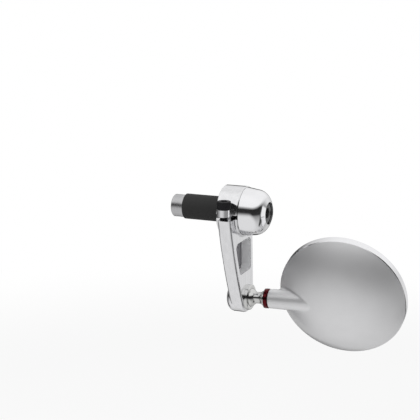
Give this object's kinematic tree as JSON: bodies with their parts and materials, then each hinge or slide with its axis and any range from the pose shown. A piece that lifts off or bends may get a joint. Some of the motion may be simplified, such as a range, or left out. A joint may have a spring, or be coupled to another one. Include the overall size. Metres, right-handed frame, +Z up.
{
  "type": "bar end mirror",
  "caption": "Round bar end mirror on a ball joint, carried by a pocketed arm that clamps on an expanding plug in the end of a motorcycle handlebar.",
  "frame": {"origin": "on the bar's axis, where the plug seats on the end of the handlebar tube", "axes": "+X outboard along the bar, -Y towards the road ahead, +Z up"},
  "size_m": [0.1469, 0.0548, 0.1064],
  "materials": {
    "polished_aluminium": "polished",
    "satin_aluminium": "satin",
    "black_screw": "black oxide, matte",
    "steel": "plain steel",
    "polished_steel": "polished",
    "red_ring": "red anodised",
    "rubber": "matte",
    "seat_plastic": "natural acetal",
    "pad": "foam tape",
    "mirror": "silvered glass"
  },
  "bodies": {
    "bar_plug": {"bar_end_cap": "polished_aluminium", "bar_end_washer": "steel", "bar_end_screw": "black_screw", "expander_washer": "steel", "expander_sleeve": "rubber", "expander_nut": "steel"},
    "arm": {"clamp_arm": "polished_aluminium", "clamp_screw": "black_screw", "socket_ring": "polished_steel", "seat_spring": "steel"},
    "seat": {"ball_seat": "seat_plastic"},
    "stud": {"ball_stud": "polished_steel", "lock_ring": "red_ring"},
    "head": {"mirror_shell": "satin_aluminium", "glass_pad": "pad", "mirror_glass": "mirror", "glass_bezel": "polished_aluminium"}
  },
  "joints": [
    {"name": "arm_swing", "type": "hinge", "parent": "bar_plug", "child": "arm", "pos_m": [0, 0, 0], "axis": [1, 0, 0], "continuous": true},
    {"name": "ball_spin", "type": "hinge", "parent": "arm", "child": "seat", "pos_m": [0.013, 0.008, -0.0572], "axis": [1, 0, 0], "range_deg": [-90, 90]},
    {"name": "ball_tilt", "type": "hinge", "parent": "seat", "child": "stud", "pos_m": [0.013, 0.008, -0.0572], "axis": [0, 0, 1], "range_deg": [-15, 15]},
    {"name": "head_turn", "type": "hinge", "parent": "stud", "child": "head", "pos_m": [0.013, 0.008, -0.0572], "axis": [0.999, 0, 0.0436], "continuous": true}
  ]
}
